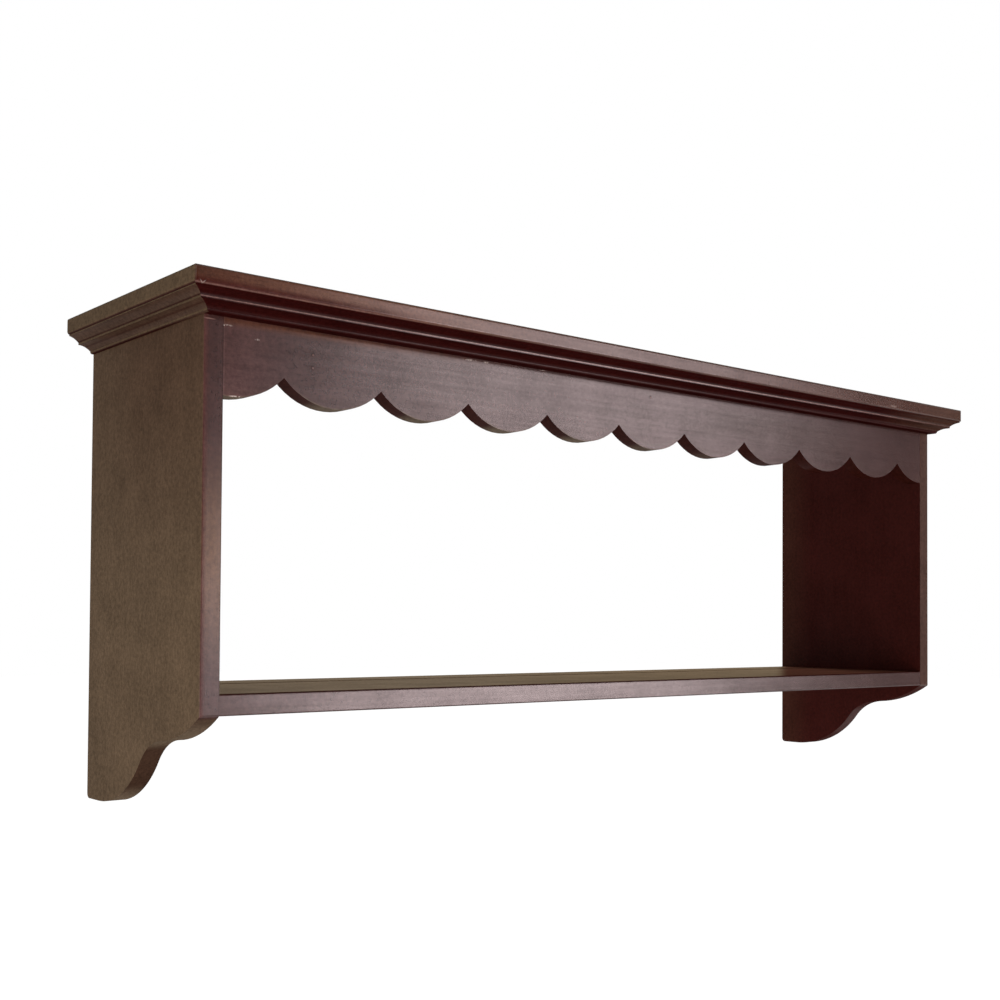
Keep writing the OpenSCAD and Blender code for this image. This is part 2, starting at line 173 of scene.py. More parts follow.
# %% Tree
class Tree:
    """The nodes of a material or a world."""

    def __init__(self, node_tree):
        self.nodes = node_tree.nodes
        self.links = node_tree.links

    def node(self, kind, settings=None, *inputs, out=0, **named):
        """Any node: its settings first, then its inputs in order or by name; returns one output."""
        made = self.nodes.new(kind)
        for key, value in (settings or {}).items():
            setattr(made, key, value)
        for place, value in enumerate(inputs):
            self.feed(made.inputs[place], value)
        for key, value in named.items():
            self.feed(made.inputs[key.replace("_", " ")], value)
        return Wire(self, made.outputs[out])

    def feed(self, socket, value):
        """Links a wire to a socket, or sets the socket to a plain value."""
        if isinstance(value, Wire):
            self.links.new(value.socket, socket)
        else:
            socket.default_value = value

    def outputs(self, wire):
        """Every output of the node that a wire comes from, by name."""
        return {socket.name: Wire(self, socket) for socket in wire.socket.node.outputs}

    def looking(self):
        """1 for the eye's own rays and for those that a mirror or a glass sends on, 0 for the rest."""
        kinds = self.outputs(self.node("ShaderNodeLightPath"))
        eye = kinds["Is Camera Ray"]
        sent_on = eye.maths("MAXIMUM", kinds["Is Glossy Ray"], kinds["Is Transmission Ray"])
        return eye.maths("MAXIMUM", eye, sent_on)


print("a tree makes nodes")


# %% Finish
class Finish(Tree):
    """The node tree of one material, around a Principled shader."""

    def __init__(self, name):
        self.material = bpy.data.materials.new(name)
        self.material.use_nodes = True
        super().__init__(self.material.node_tree)
        self.shader = self.nodes["Principled BSDF"]
        self.x, self.y, self.z = self.parts(self.node("ShaderNodeTexCoord", out="Object"))
        self.nx, self.ny, self.nz = self.parts(self.node("ShaderNodeNewGeometry", out="Normal"))
        self.forward = self.ramp(-self.ny, 0.45, 0.98)

    def parts(self, vector):
        """The three numbers of a vector."""
        return list(self.outputs(self.node("ShaderNodeSeparateXYZ", None, vector)).values())

    def vector(self, x, y, z):
        """A vector from three numbers."""
        return self.node("ShaderNodeCombineXYZ", None, x, y, z)

    def noise(self, place, detail=2.0, roughness=0.5):
        """Smooth noise around 0, with grains one unit apart, mostly between -0.2 and 0.2."""
        around_half = self.node(
            "ShaderNodeTexNoise", None, Vector=place, Scale=1.0, Detail=detail, Roughness=roughness
        )
        return around_half - 0.5

    def cloud(self, size, seed, detail=3.0):
        """Noise with grains of one size in metres, the same in every direction."""
        return self.noise(self.vector(self.x / size + seed, self.y / size, self.z / size), detail)

    def ramp(self, value, low, high):
        """0 below low, 1 above high and a smooth step between them."""
        return self.node("ShaderNodeMapRange", {"interpolation_type": "SMOOTHSTEP"}, value, low, high)

    def near(self, value, centre, reach):
        """1 where value is at centre, falling smoothly to 0 at reach on either side."""
        return 1 - self.ramp(abs(value - centre), 0.0, reach)

    def mix(self, share, first, second, way="MIX"):
        """Two colours: the first where share is 0, and at 1 the second or what way makes of both."""
        settings = {"data_type": "RGBA", "blend_type": way}
        made = self.node("ShaderNodeMix", settings, share).socket.node
        sockets = {socket.identifier: socket for socket in [*made.inputs, *made.outputs]}
        self.feed(sockets["A_Color"], first)
        self.feed(sockets["B_Color"], second)
        return Wire(self, sockets["Result_Color"])

    def grey(self, value):
        """A colour with the same number three times."""
        return self.node("ShaderNodeCombineColor", None, value, value, value)

    def distance(self, first, second):
        """How far two places are from each other."""
        return self.node("ShaderNodeVectorMath", {"operation": "DISTANCE"}, first, second, out="Value")

    def spot(self, x, z, radius):
        """A soft round spot on a front face."""
        from_centre = self.distance(self.vector(self.x, 0, self.z), (x, 0, z))
        return (1 - self.ramp(from_centre, radius * 0.4, radius)) * self.forward

    def stroke(self, x, z, half_length, half_width, slope=0.0):
        """A short line on a front face, through a place, with a rise per length."""
        rise = (self.x - x) * slope
        along = self.near(self.x, x, half_length)
        return along * self.near(self.z - rise, z, half_width) * self.forward

    def surface(self, **inputs):
        """Sets the Principled shader's own sockets, and gives back the material."""
        for key, value in inputs.items():
            self.feed(self.shader.inputs[key.replace("_", " ")], value)
        return self.material


print("a finish is a tree with places, directions and noise")

# %% [markdown]
# ## The stain
#
# The wood took a dark red-brown stain under a thin wax. It isn't one colour: the fronts are
# a deep red under their shine. The olive brown of the outer faces of the sides and of the returns
# is a painted reflection of a warm room. The faces that look down are painted darker as shade, the
# faces that look into the case stayed almost black, and the faces that look up are dusty, with a
# painted sheen. So the stain is a small table of tones, and the direction in which a face looks
# picks between them, which paints light and shade by direction. The table's second half holds the
# tones of marks: painted highlights and reflections on arrises, rubbed arrises, sawn edges, filler,
# dirt.

# %% Tones of the stain
def tone(red, green, blue):
    """A colour as a shader takes it, from linear shares of red, green and blue."""
    return (red, green, blue, 1.0)


RED = tone(0.032, 0.0095, 0.0072)
RUSSET = tone(0.050, 0.0150, 0.0070)
# Painted reflections of a warm room, in olive; the lighter one also paints light toward the foot.
OLIVE_REFLECTION = tone(0.082, 0.044, 0.025)
LIT_OLIVE_REFLECTION = tone(0.124, 0.080, 0.047)
END_OLIVE_REFLECTION = tone(0.108, 0.068, 0.038)
OLIVE_UNDER = tone(0.064, 0.034, 0.022)
NIGHT = tone(0.041, 0.0064, 0.0046)
# The darkest tone, for painted shade in the coves and creases.
COVE = tone(0.021, 0.0028, 0.0024)
# Dust, with a painted sheen of the kind the tops show at a low angle.
DUST_AND_SHEEN = tone(0.165, 0.120, 0.073)
# Painted shade, for faces that look down or back.
UNDER = tone(0.030, 0.0065, 0.0045)
# A ruddy tone, which also paints a sheen and a reflection.
RUDDY_AND_SHEEN = tone(0.100, 0.032, 0.010)
AMBER = tone(0.085, 0.034, 0.008)
MAROON = tone(0.075, 0.026, 0.022)
SAWN = tone(0.036, 0.019, 0.012)
BROWN_EDGE = tone(0.060, 0.032, 0.022)
# Wear, and painted highlights on arrises.
WEAR_AND_HIGHLIGHT = tone(0.230, 0.125, 0.105)
# Wear, and a painted reflection of the floor.
WEAR_AND_FLOOR_REFLECTION = tone(0.105, 0.075, 0.050)
CHIP = tone(0.480, 0.400, 0.350)
PORE = tone(0.008, 0.002, 0.002)


def facing_tones(finish, front_tone, left_tone, right_tone, up_tone, down_tone):
    """The stain's tone by the direction of the face: a smooth step on each part of the normal.

    This paints light and shade by direction: the backs take the dark tone of the undersides, which is
    painted shade."""
    colour = front_tone
    for part, other in (
        (-finish.nx, left_tone),
        (finish.nx, right_tone),
        (finish.ny, UNDER),
        (finish.nz, up_tone),
        (-finish.nz, down_tone),
    ):
        colour = finish.mix(finish.ramp(part, 0.35, 0.85), colour, other)
    return colour


print("front tone:", RED[:3], "left tone:", OLIVE_REFLECTION[:3])

# %% [markdown]
# ## The grain
#
# Grain is noise that has been pulled out along the board. The place on the board is split into
# one number along the grain and two across it, and the numbers across are divided by a far
# smaller size than the one along. Three of these make the wood: a broad figure as wide as a thumb,
# fine streaks a few millimetres wide, and pores like short pencil strokes. On the sawn ends the
# same noise is cut across and shows as dots, as end grain does. Three more noises, the same in
# every direction, are the stain's own: blotches, a mottle and specks.

# %% Grain
FIGURE_SIZE = (700 * MM, 55 * MM)
STREAK_SIZE = (110 * MM, 3.5 * MM)
PORE_SIZE = (16 * MM, 0.65 * MM)
BLOTCH, MOTTLE, SPECK = 45 * MM, 3.4 * MM, 1.3 * MM


def pulled_noise(finish, along, size, seed, detail=2.0, roughness=0.5):
    """Noise whose grains have a length and a width: each number is divided by its size."""
    length, width = size
    x, y, z = finish.x, finish.y, finish.z
    with_grain, across, through = {"x": (x, z, y), "y": (y, z, x), "z": (z, x, y)}[along]
    place = finish.vector(with_grain / length + seed, across / width + seed * 0.37, through / width)
    return finish.noise(place, detail, roughness)


print(f"pores are {PORE_SIZE[0] / MM:.0f} mm long")

# %% [markdown]
# ## The stained finish
#
# The tone of each place comes first, and marks are laid on it in turn. Both are then multiplied by
# the grain, and the pores are set in as near-black strokes. Over that lies the wax. It is a thin
# clear layer with a shine of its own, which is what a Principled shader calls a coat. It was
# rubbed well only where a hand passes, on the fronts, so its weight is high there and low
# elsewhere, and it is a little uneven along the grain. The shine of bare stained wood is left
# out, because wax fills it.

# %% Stained wood
FRONT_WAX, DULL_WAX, WAX_ROUGHNESS = 1.0, 0.06, 0.25
RELIEF = 0.25 * MM


def stained_wood(name, along, tones, seed, gloss, figure, marks):
    """The whole finish: tones by direction, then the marks, times the grain, less the pores.

    marks is a function of the finish that gives (mask, tone, wax left) in the order they are laid."""
    finish = Finish(name)
    broad = pulled_noise(finish, along, FIGURE_SIZE, seed, 3.0)
    streaks = pulled_noise(finish, along, STREAK_SIZE, seed + 7, 4.0, 0.6)
    pores = finish.ramp(pulled_noise(finish, along, PORE_SIZE, seed + 19), 0.10, 0.20)
    blotches = finish.cloud(BLOTCH, seed + 3)
    mottle = finish.cloud(MOTTLE, seed + 11, 2.0)
    specks = finish.cloud(SPECK, seed + 23, 1.0)

    colour = facing_tones(finish, *tones)
    polish = 1 + streaks * 0.7 + blotches * 0.5 + mottle * 0.4 + specks * 0.3 - pores * 0.12
    for mask, mark_tone, wax_left in marks(finish):
        colour = finish.mix(mask, colour, mark_tone)
        polish = polish * (1 - mask * (1 - wax_left))

    shade = 1 + (broad + streaks) * figure + blotches * 0.5 + mottle * 0.9 + specks * 0.5
    colour = finish.mix(1.0, colour, finish.grey(shade), "MULTIPLY")
    colour = finish.mix(pores * 0.3, colour, PORE)
    rough = gloss + streaks * 0.16 + blotches * 0.18 + pores * 0.12
    height = streaks * 0.5 - pores * 0.25 + specks * 0.15
    bump = finish.node("ShaderNodeBump", None, Strength=0.35, Distance=RELIEF, Height=height)

    on_top = finish.ramp(finish.nz, 0.3, 0.9)
    laid = DULL_WAX + finish.forward * (FRONT_WAX - DULL_WAX)
    wax = laid * polish * (1 - on_top * 0.8)
    return finish.surface(
        Base_Color=colour,
        Roughness=rough,
        Normal=bump,
        Specular_IOR_Level=0.0,
        Coat_Weight=wax,
        Coat_Roughness=WAX_ROUGHNESS,
        Coat_IOR=1.5,
    )


def dress(node, material):
    """Gives a piece its finish, in every material slot that it has."""
    for slot in boards[node].material_slots:
        slot.material = material
    print(f"{node}: {material.name}")


# %% [markdown]
# ## The two sides
#
# The outer face of the left side carries the painted olive reflection of a warm room, and is
# painted lighter and greener at its foot and its back, as painted light. Its front edge is warmer
# at mid height, and has a maroon line along the outer arris and a thin dark one at the joint with
# the apron. The sawn edge of the foot was never waxed. On the right board the inner face shows,
# almost black, with painted light at its back edge, and a browner front edge.

# %% Sides
LEFT_LIP = (-545 * MM, 42.6 * MM)


def foot_edge(finish):
    """The sawn edge of the foot: below the shelf, not on the board's two faces or its back."""
    below = 1 - finish.ramp(finish.z, shelf_low.z - 4 * MM, shelf_low.z)
    on_face = finish.ramp(abs(finish.nx), 0.4, 0.8)
    return below * (1 - on_face) * (1 - finish.ramp(finish.ny, 0.5, 0.9))


def left_side_marks(finish):
    outward = finish.ramp(-finish.nx, 0.5, 0.9)
    low = 1 - finish.ramp(finish.z, -230 * MM, 60 * MM)
    # Painted light: the outer face is lighter and greener toward its foot and its back.
    yield outward * low, LIT_OLIVE_REFLECTION, 1.0
    yield outward * finish.ramp(finish.y, -130 * MM, -10 * MM) * 0.45, LIT_OLIVE_REFLECTION, 1.0
    yield finish.near(finish.z, -165 * MM, 120 * MM) * finish.forward * 0.9, AMBER, 1.12
    yield finish.near(finish.x, -outer_x, 6.5 * MM) * finish.forward * 0.85, MAROON, 0.35
    yield foot_edge(finish), SAWN, 0.0
    # Painted reflection of the floor, where the foot's sawn edge faces down.
    yield foot_edge(finish) * finish.ramp(-finish.nz, 0.80, 0.98), WEAR_AND_FLOOR_REFLECTION, 1.0
    yield finish.near(finish.x, -inner_x - 0.3 * MM, 0.8 * MM) * finish.forward * 0.5, PORE, 0.2
    yield finish.stroke(*LEFT_LIP, 9 * MM, 0.9 * MM) * 0.8, WEAR_AND_HIGHLIGHT, 0.8


def right_side_marks(finish):
    inward = finish.ramp(-finish.nx, 0.5, 0.9)
    # Painted light at the back edge of the inner face.
    yield inward * finish.ramp(finish.y, -60 * MM, 0) * 0.25, OLIVE_REFLECTION, 1.0
    yield finish.forward * 0.7, BROWN_EDGE, 0.3
    yield foot_edge(finish), UNDER, 0.5
    yield finish.near(finish.x, inner_x + 0.5 * MM, 1.2 * MM) * finish.forward * 0.3, PORE, 0.5


left_tones = (RED, OLIVE_REFLECTION, NIGHT, DUST_AND_SHEEN, UNDER)
right_tones = (RED, NIGHT, OLIVE_REFLECTION, DUST_AND_SHEEN, UNDER)
dress("left_side", stained_wood("stained side, left", "z", left_tones, 3.1, 0.52, 0.2, left_side_marks))
dress("right_side", stained_wood("stained side, right", "z", right_tones, 8.6, 0.52, 0.2, right_side_marks))

# %% [markdown]
# ## The shelf
#
# Its front edge shines most of all the fronts. A dark line is laid along the arris above it, and
# a short upright dent shows near the left. The top is dusty, with a painted sheen. In the front
# corner by the right side the top is painted dark, as the reflection and shade of the right board:
# a slanting line from the back of that corner bounds it.

# %% Shelf
CORNER_RUN = 300 * MM
DENT_X, DENT_Z = -414.5 * MM, -285 * MM


def shelf_marks(finish):
    # Painted reflection and shade of the right board: the top is laid dark in front of a slanting line.
    diagonal = inner_x + finish.y * (CORNER_RUN / -front)
    painted_board_shade = finish.ramp(finish.x - diagonal, -15 * MM, 15 * MM) * finish.ramp(finish.nz, 0.5, 0.9)
    yield painted_board_shade * 0.85, NIGHT, 1.0
    arris = finish.near(finish.y, front, 12 * MM) * finish.near(finish.z, shelf_high.z, 2.2 * MM)
    yield arris, COVE, 0.1
    yield finish.stroke(DENT_X, DENT_Z, 2.2 * MM, 7 * MM) * 0.5, PORE, 0.6


shelf_tones = (RED, NIGHT, NIGHT, DUST_AND_SHEEN, UNDER)
dress("shelf_board", stained_wood("stained shelf", "x", shelf_tones, 14.2, 0.48, 0.5, shelf_marks))

# %% [markdown]
# ## The scalloped apron
#
# The scallops repeat, so one sum finds them all: X is wrapped round to the nearest scallop, and
# the distance from that circle's centre tells how close a place is to the sawn edge. Toward the
# left end the lowest points of the scallops are rubbed to a pale olive along the arris, and where
# they look down the same tone is a painted reflection of the floor. The left end is ruddier, and a
# strip under the moulding carries a painted reflection and shade of the moulding in a ruddy tone.
# Flecks of filler lie along that strip and at the end's lower corner, and three nail holes are
# filled, each with a small painted highlight.

# %% Apron
SCALLOP_PITCH = 105.3 * MM
SCALLOP_SHIFT = 3.4 * MM
SCALLOP_RADIUS = 72 * MM
FILLED_NAILS = ((-441 * MM, 25 * MM), (-441 * MM, 13 * MM), (0.0, 36 * MM))
FLECKS = (
    (-529 * MM, 39.0 * MM, 8 * MM),
    (-498 * MM, 30.5 * MM, 3 * MM),
    (-519 * MM, -22.4 * MM, 9 * MM),
    (-258 * MM, 43.8 * MM, 11 * MM),
    (-237 * MM, 44.1 * MM, 5 * MM),
    (-161 * MM, 46.0 * MM, 6 * MM),
)


def apron_marks(finish):
    across = finish.x.maths("WRAP", finish.x - SCALLOP_SHIFT, SCALLOP_PITCH / 2, -SCALLOP_PITCH / 2)
    centre = (0, 0, apron_low.z + SCALLOP_RADIUS)
    from_centre = finish.distance(finish.vector(across, 0, finish.z), centre)
    lowest = 1 - finish.ramp(finish.z, apron_low.z + 4 * MM, apron_low.z + 15 * MM)
    rim = finish.near(from_centre, SCALLOP_RADIUS - 0.4 * MM, 1.3 * MM)
    leftward = 1 - finish.ramp(finish.x, -150 * MM, 250 * MM)
    yield rim * finish.forward * lowest * leftward * 0.6, WEAR_AND_FLOOR_REFLECTION, 0.5
    # Painted reflection of the floor, where the scallops' lowest faces look down.
    yield finish.ramp(-finish.nz, 0.93, 0.995) * leftward, WEAR_AND_FLOOR_REFLECTION, 1.0
    yield (1 - finish.ramp(finish.x, -inner_x, -440 * MM)) * finish.forward * 0.5, MAROON, 1.0
    left_end = 1 - finish.ramp(finish.x, -430 * MM, -160 * MM)
    # Painted reflection and shade of the moulding, in a strip below it.
    yield finish.near(finish.z, 43 * MM, 6 * MM) * left_end * finish.forward * 0.5, RUDDY_AND_SHEEN, 0.5
    yield finish.near(finish.x, -inner_x + 0.6 * MM, 1.1 * MM) * finish.forward * 0.12, WEAR_AND_HIGHLIGHT, 0.9
    broken = finish.ramp(finish.cloud(1.6 * MM, 5.0, 1.0), -0.08, 0.10)
    for x, z, half_length in FLECKS:
        yield finish.stroke(x, z, half_length, 1.1 * MM, 0.05) * broken, CHIP, 0.6
    for x, z in FILLED_NAILS:
        yield finish.spot(x, z, 2.6 * MM) * 0.6, PORE, 0.3
        # A small painted highlight on each filled hole.
        yield finish.spot(x + 0.5 * MM, z - 0.4 * MM, 1.3 * MM) * 0.5, WEAR_AND_HIGHLIGHT, 0.8


apron_tones = (RED, NIGHT, NIGHT, UNDER, UNDER)
dress("scalloped_apron", stained_wood("stained apron", "x", apron_tones, 21.7, 0.50, 0.5, apron_marks))

# %% [markdown]
# ## The top and its moulding
#
# The top's band is the reddest wood, most of all left of its middle, where its brighter red also
# paints a wider sheen. Along its lower arris lies a painted highlight, and at the left its lower part
# is painted dark as shade. It has a dark line where its upper arris is rounded, a forked nick at its
# near corner and a scuff far to the right. The moulding is a stack of level lines, so each of its
# marks is a band of heights above its foot: a painted highlight on the fillet's upper edge, and
# painted shade, nearly black, on the lip under the band, in the two coves and on the bead. Toward
# the right end both turn olive. The returns carry the painted olive reflection of the sides, with
# thin dark creases of painted shade.

# %% Top board
FORK_X, FORK_Z, NICK_Z = -569.5 * MM, 62.4 * MM, 64 * MM
SCUFF = (415.4 * MM, 66.2 * MM)


def top_marks(finish):
    left_end = 1 - finish.ramp(finish.x, -470 * MM, -260 * MM)
    low = 1 - finish.ramp(finish.z, top_low.z + 2 * MM, top_low.z + 9 * MM)
    yield finish.forward, RUSSET, 0.88
    # The band's own red, brighter at the left, where it also paints a wider sheen.
    yield finish.near(finish.x, -390 * MM, 270 * MM) * finish.forward * 0.8, RUDDY_AND_SHEEN, 1.15
    yield finish.ramp(finish.x, 420 * MM, 570 * MM) * finish.forward * 0.5, OLIVE_UNDER, 0.6
    # Painted shade: the lower band at the left is dark, where the windows' shine stops.
    yield low * left_end * finish.forward * 0.9, NIGHT, 0.15
    rounded = finish.ramp(-finish.ny, 0.3, 0.7)
    # Painted highlight along the band's lower arris.
    yield finish.near(finish.z, top_low.z + 0.9 * MM, 1.3 * MM) * left_end * rounded * 0.35, WEAR_AND_HIGHLIGHT, 0.8
    yield finish.near(finish.z, top_high.z, 2.4 * MM) * rounded * 0.35, PORE, 0.5
    fork = abs(finish.x - FORK_X) - (finish.z - FORK_Z)
    nick = finish.near(fork, 0, 1.0 * MM) * finish.near(finish.z, NICK_Z, 2.4 * MM)
    yield nick * finish.near(finish.x, FORK_X, 4 * MM) * 0.5, CHIP, 0.6
    yield finish.stroke(*SCUFF, 10 * MM, 1.8 * MM) * 0.35, CHIP, 0.8


top_tones = (RUSSET, END_OLIVE_REFLECTION, END_OLIVE_REFLECTION, DUST_AND_SHEEN, UNDER)
dress("top_board", stained_wood("stained top", "x", top_tones, 33.3, 0.48, 0.5, top_marks))

# %% Moulding
BEAD_TOP = 2.4 * MM
FILLET_FOOT, FILLET_TOP = 7.4 * MM, 9.4 * MM
LIP = 15 * MM


def moulding_marks(finish):
    height = finish.z - moulding_foot
    # Painted shade: the lip under the band, the fillet's foot, both coves and the bead are laid dark.
    yield finish.ramp(height, LIP - 0.3 * MM, LIP), COVE, 0.0
    yield finish.near(height, FILLET_FOOT, 1.1 * MM) * finish.forward, COVE, 0.1
    yield finish.near(height, FILLET_TOP + 2.4 * MM, 2.4 * MM), COVE, 0.1
    yield finish.near(height, FILLET_FOOT - 2.6 * MM, 3.0 * MM) * 0.8, COVE, 0.15
    right_end = finish.ramp(finish.x, 380 * MM, 540 * MM)
    yield right_end * 0.5, OLIVE_UNDER, 0.4
    shown = finish.forward * (1 - right_end * 0.7)
    # Painted highlight on the fillet's upper edge.
    yield finish.near(height, FILLET_TOP - 0.4 * MM, 0.8 * MM) * shown * 0.7, WEAR_AND_HIGHLIGHT, 0.8
    yield (1 - finish.ramp(height, BEAD_TOP, BEAD_TOP + 1 * MM)) * 0.9, COVE, 0.12


def return_marks(finish):
    height = finish.z - moulding_foot
    near_corner = finish.ramp(-finish.y, 150 * MM, 250 * MM)
    # Painted shade: thin dark creases at the fillet and along the foot.
    yield finish.near(height, FILLET_TOP + 0.4 * MM, 1.1 * MM) * 0.75, COVE, 0.3
    yield finish.near(height, FILLET_FOOT - 1.4 * MM, 0.9 * MM) * 0.45, COVE, 0.3
    yield finish.near(height, 0, 1.7 * MM) * (1 - near_corner * 0.8) * 0.9, COVE, 0.3


moulding_tones = (RED, NIGHT, NIGHT, NIGHT, COVE)
# The returns take the painted olive reflection of the sides.
return_tones = (END_OLIVE_REFLECTION, END_OLIVE_REFLECTION, END_OLIVE_REFLECTION, OLIVE_UNDER, OLIVE_UNDER)
moulding_wood = stained_wood("stained moulding", "x", moulding_tones, 41.9, 0.50, 0.3, moulding_marks)
dress("cornice_front", moulding_wood)
for side, seed in (("left", 52.4), ("right", 63.8)):
    return_wood = stained_wood(f"stained return, {side}", "y", return_tones, seed, 0.52, 0.3, return_marks)
    dress(f"cornice_{side}", return_wood)

# %% [markdown]
# ## Bare wood and metal
#
# Dowels and glue blocks were never stained: they are pale wood with the same kind of grain. Pins
# are grey steel. The hangers are pressed from zinc-plated sheet, whose grey is slightly cloudy.

# %% Bare wood, steel and zinc
PALE_WOOD = tone(0.560, 0.370, 0.190)
PALE_STREAK = tone(0.400, 0.230, 0.100)
STEEL = tone(0.360, 0.355, 0.350)
ZINC = tone(0.560, 0.570, 0.580)
ZINC_CLOUD = tone(0.420, 0.430, 0.450)
PALE_SIZE = (80 * MM, 1.6 * MM)


def bare_wood(name, along, seed):
    """Pale wood: streaks of a darker tone along the grain, and no wax."""
    finish = Finish(name)
    streaks = pulled_noise(finish, along, PALE_SIZE, seed, 3.0, 0.6)
    colour = finish.mix(finish.ramp(streaks, -0.15, 0.20), PALE_WOOD, PALE_STREAK)
    bump = finish.node("ShaderNodeBump", None, Strength=0.3, Distance=0.2 * MM, Height=streaks)
    return finish.surface(Base_Color=colour, Roughness=0.62 + streaks * 0.2, Normal=bump)


def plated(name, clear, clouded, roughness, seed):
    """Bright metal with soft clouds a few millimetres wide in its colour and its shine."""
    finish = Finish(name)
    clouds = finish.cloud(4 * MM, seed)
    colour = finish.mix(finish.ramp(clouds, -0.15, 0.20), clear, clouded)
    return finish.surface(Base_Color=colour, Metallic=1.0, Roughness=roughness + clouds * 0.25)


along_x_wood = bare_wood("bare wood, grain along X", "x", 71.3)
along_z_wood = bare_wood("bare wood, grain along Z", "z", 77.9)
pin_steel = plated("pin steel", STEEL, STEEL, 0.35, 4.4)
zinc = plated("zinc plate", ZINC, ZINC_CLOUD, 0.34, 9.7)
for node in boards:
    if node.startswith(("shelf_dowels", "apron_dowels", "glue_block")):
        dress(node, along_x_wood)
    elif node.startswith("top_dowels"):
        dress(node, along_z_wood)
    elif "pins" in node:
        dress(node, pin_steel)
    elif node.startswith("keyhole_hanger"):
        dress(node, zinc)

# %% [markdown]
# ## The screws of the hangers
#
# Two countersunk screws hold each hanger. A screw is a surface of revolution, so it could be a
# profile that is spun. Two things break the circle: the thread, which is a ridge that moves round
# as it goes down, and the slot. The thread is a radius that depends on depth and angle together.
# The slot is made by ending the rim on each side of it, and closing the gap with two walls and a
# floor.

# %% Screw
RIM_STEPS, SLOT_END_STEPS, SHANK_RINGS = 13, 3, 88
THREAD_PITCH, THREAD_DEPTH, TIP_LENGTH = 1.2 * MM, 0.34 * MM, 3.2 * MM
HALF_SLOT, SLOT_DEPTH = 0.42 * MM, 0.75 * MM


def screw_rings(neck, head_height, length, angles):
    """Rings down the shank, as rows of points.

    The radius is the neck's less a thread, which is a triangle wave of depth over pitch plus angle
    over a full turn. Over the last stretch it shrinks in a straight line to a point."""
    depth = np.linspace(head_height, length - 0.1 * MM, SHANK_RINGS)[:, None]
    wave = np.abs(2 * np.mod(depth / THREAD_PITCH + angles[None, :] / (2 * np.pi), 1) - 1)
    threaded = np.clip((depth - head_height) / THREAD_PITCH - 1.5, 0, 1)
    shrink = np.clip((length - depth) / TIP_LENGTH, 0, 1)
    radius = (neck - THREAD_DEPTH * wave * threaded) * shrink
    return np.stack([radius * np.cos(angles), -depth + 0 * angles, radius * np.sin(angles)], axis=-1)


def screw(head_radius, neck, head_height, length, turn, place):
    """Points and faces of one countersunk screw that points along -Y, with its slot turned.

    The rows are the two halves of the rim, the ring at the depth of the slot's floor, the rings
    down the shank and the tip. Each ring runs along one half, across the slot's end, along the
    other half and across the other end. The points are turned about Y, then moved to the place."""
    floor_radius = head_radius - SLOT_DEPTH * (head_radius - neck) / head_height
    rim_start = math.asin(HALF_SLOT / head_radius)
    floor_start = math.asin(HALF_SLOT / floor_radius)
    rim = np.linspace(rim_start, math.pi - rim_start, RIM_STEPS)
    side = np.linspace(floor_start, math.pi - floor_start, RIM_STEPS)
    end = np.linspace(math.pi - floor_start, math.pi + floor_start, SLOT_END_STEPS + 2)[1:-1]
    angles = np.concatenate([side, end, side + math.pi, end + math.pi])
    rims = np.concatenate([rim, rim + math.pi])
    top = np.stack([head_radius * np.cos(rims), 0 * rims, head_radius * np.sin(rims)], axis=-1)
    flat = 0 * angles - SLOT_DEPTH
    floor = np.stack([floor_radius * np.cos(angles), flat, floor_radius * np.sin(angles)], axis=-1)
    shank = screw_rings(neck, head_height, length, angles)
    rows = np.concatenate([floor[None], shank])
    apex = np.array([[0, -length, 0]])
    points = np.concatenate([top, rows.reshape(-1, 3), apex])
    cos_turn, sin_turn = math.cos(turn), math.sin(turn)
    spin = np.array([[cos_turn, 0, sin_turn], [0, 1, 0], [-sin_turn, 0, cos_turn]])
    points = points @ spin + np.array(place)

    first, count, rounds = len(top), len(angles), len(rows)
    grid = first + np.arange(rounds * count).reshape(rounds, count)
    after = np.roll(grid, -1, axis=1)
    skin = np.stack([grid[:-1], grid[1:], after[1:], after[:-1]], axis=-1).reshape(-1, 4).tolist()
    tip = np.stack([grid[-1], after[-1], np.full(count, len(points) - 1)], axis=-1).tolist()
    faces = skin + tip
    half_ring = RIM_STEPS + SLOT_END_STEPS
    for half in (0, 1):
        land = half * RIM_STEPS + np.arange(RIM_STEPS)
        ring = grid[0, half * half_ring:half * half_ring + RIM_STEPS]
        faces += np.stack([land[:-1], land[1:], ring[1:], ring[:-1]], axis=-1).tolist()
        faces += [land.tolist(), [int(land[0]), int(land[-1]), int(ring[-1]), int(ring[0])]]
    one_end = range(RIM_STEPS - 1, half_ring + 1)
    other_end = range(half_ring + RIM_STEPS - 1, count)
    faces.append([int(grid[0, i]) for i in (*one_end, *other_end, 0)])
    return points, faces


print(f"thread pitch {THREAD_PITCH / MM:.1f} mm")


# %% Both pairs of screws
HEAD_RADIUS, NECK_RADIUS, HEAD_HEIGHT = 2.9 * MM, 1.5 * MM, 1.4 * MM
SLOT_TURNS = {"left": (0.5, 2.1), "right": (1.2, 2.7)}

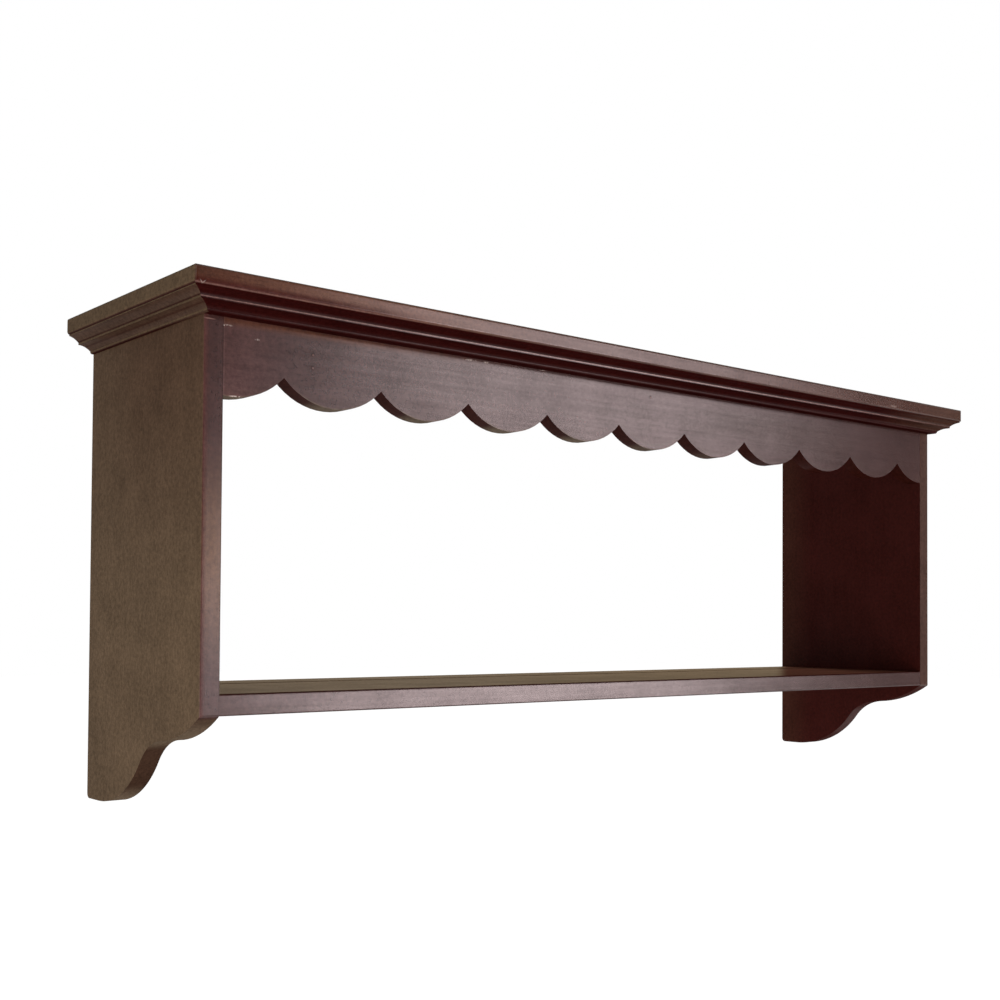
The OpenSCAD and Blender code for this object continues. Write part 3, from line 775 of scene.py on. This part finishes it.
for side, turns in SLOT_TURNS.items():
    low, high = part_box(f"hanger_screws_{side}")
    middle = (low.x + high.x) / 2
    points, faces = [], []
    for turn, z in zip(turns, (low.z + HEAD_RADIUS, high.z - HEAD_RADIUS)):
        place = (middle, high.y, z)
        new_points, new_faces = screw(HEAD_RADIUS, NECK_RADIUS, HEAD_HEIGHT, high.y - low.y, turn, place)
        faces += [[i + len(points) for i in face] for face in new_faces]
        points += new_points.tolist()
    mesh = bpy.data.meshes.new(f"screws_{side}")
    mesh.from_pydata(points, [], faces)
    solid = bmesh.new()
    solid.from_mesh(mesh)
    bmesh.ops.recalc_face_normals(solid, faces=solid.faces)
    solid.to_mesh(mesh)
    solid.free()
    mesh.materials.append(zinc)
    pair = bpy.data.objects.new(f"screws_{side}", mesh)
    bpy.context.scene.collection.objects.link(pair)
    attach(pair, "root")
    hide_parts(f"hanger_screws_{side}")
    print(pair.name, len(mesh.polygons), "faces")

# %% [markdown]
# ## The stage
#
# The world is white where the eye or a reflection looks straight at it, and dimmer where it only
# lights a dull surface. The floor lies well below the rack, which hangs on a wall. It is partly a
# light of its own to the eye, so that it looks as pale as the world above it and still takes the
# rack's shadow.

# %% World
AMBIENT = 0.42

world = bpy.data.worlds.new("studio")
world.use_nodes = True
bpy.context.scene.world = world
sky = Tree(world.node_tree)
background = sky.nodes["Background"]
sky.feed(background.inputs["Color"], (1, 1, 1, 1))
sky.feed(background.inputs["Strength"], AMBIENT + sky.looking() * (1 - AMBIENT))
print("world lights dull surfaces at", AMBIENT)


# %% Floor
FLOOR_DROP = 0.75
FLOOR_HALF = 20
FLOOR_GLOW, GLOW_SHARE = 1.25, 0.75


def stage_sheet(name, corners, finish):
    """A flat four-cornered sheet that is not part of the rack."""
    mesh = bpy.data.meshes.new(name)
    mesh.from_pydata(corners, [], [(0, 1, 2, 3)])
    mesh.materials.append(finish.material)
    made = bpy.data.objects.new(name, mesh)
    bpy.context.scene.collection.objects.link(made)
    return made


floor_finish = Finish("pale floor")
floor_finish.surface(Base_Color=(0.8, 0.8, 0.8, 1), Roughness=0.9)
glow = floor_finish.node("ShaderNodeEmission", None, (1, 1, 1, 1), FLOOR_GLOW)
dull = Wire(floor_finish, floor_finish.shader.outputs[0])
share = floor_finish.looking() * GLOW_SHARE
both = floor_finish.node("ShaderNodeMixShader", None, share, dull, glow)
floor_finish.feed(floor_finish.nodes["Material Output"].inputs["Surface"], both)
floor_z = cad_low.z - FLOOR_DROP
floor_corners = [(x * FLOOR_HALF, y * FLOOR_HALF, floor_z) for x, y in ((-1, -1), (1, -1), (1, 1), (-1, 1))]
stage_sheet("floor", floor_corners, floor_finish)
print(f"floor at {floor_z:.2f} m")

# %% [markdown]
# ## The lights
#
# What makes the fronts shine is two wide windows far to the right, one above the other. Their
# place follows from the mirror: the eye is reflected in the front plane, and a line from that
# reflected eye through the shiniest place meets the windows. A dark curtain hangs behind them, so
# that the shine ends where the windows end. Only shiny surfaces see it. The dull colour comes from
# the room's own light, from a soft box low on the left, and from one high behind the rack that
# reaches the shelf's top.

# %% Windows, soft boxes and curtain
def soft_box(name, place, aim, size, power, colour=(1, 1, 1)):
    """A flat lamp of a width and a height in metres, at a place and turned to what it lights."""
    lamp = bpy.data.lights.new(name, "AREA")
    lamp.shape = "RECTANGLE"
    lamp.size, lamp.size_y = size
    lamp.energy, lamp.color = power, colour
    made = bpy.data.objects.new(name, lamp)
    made.location = place
    made.rotation_euler = (Vector(aim) - Vector(place)).to_track_quat("-Z", "Y").to_euler()
    made.visible_camera = False
    bpy.context.scene.collection.objects.link(made)
    return made


WINDOW_Y = -3.0
KEY = (1.0, 0.85, 0.86)
soft_box("low window", (2.18, WINDOW_Y, -0.23), (2.18, 0, -0.23), (2.3, 0.77), 69, KEY)
soft_box("high window", (2.50, WINDOW_Y, 0.82), (2.50, 0, 0.82), (2.06, 0.80), 34, KEY)
soft_box("left fill", (-1.4, -1.35, -0.75), (-0.5, front, -0.2), (0.8, 0.8), 15)
soft_box("back light", (1.1, 2.0, 1.0), (0, -0.1, -0.28), (1.0, 1.0), 90)

curtain_finish = Finish("dark curtain")
curtain_finish.surface(Base_Color=(0.01, 0.01, 0.01, 1), Roughness=1.0, Specular_IOR_Level=0.0)
CURTAIN_Y = -3.4
CURTAIN_CORNERS = ((-1.5, -2.5), (9, -2.5), (9, 4), (-1.5, 4))
curtain_places = [(x, CURTAIN_Y, z) for x, z in CURTAIN_CORNERS]
curtain = stage_sheet("curtain", curtain_places, curtain_finish)
curtain.visible_camera = False
curtain.visible_diffuse = False
curtain.visible_shadow = False
curtain.visible_transmission = False
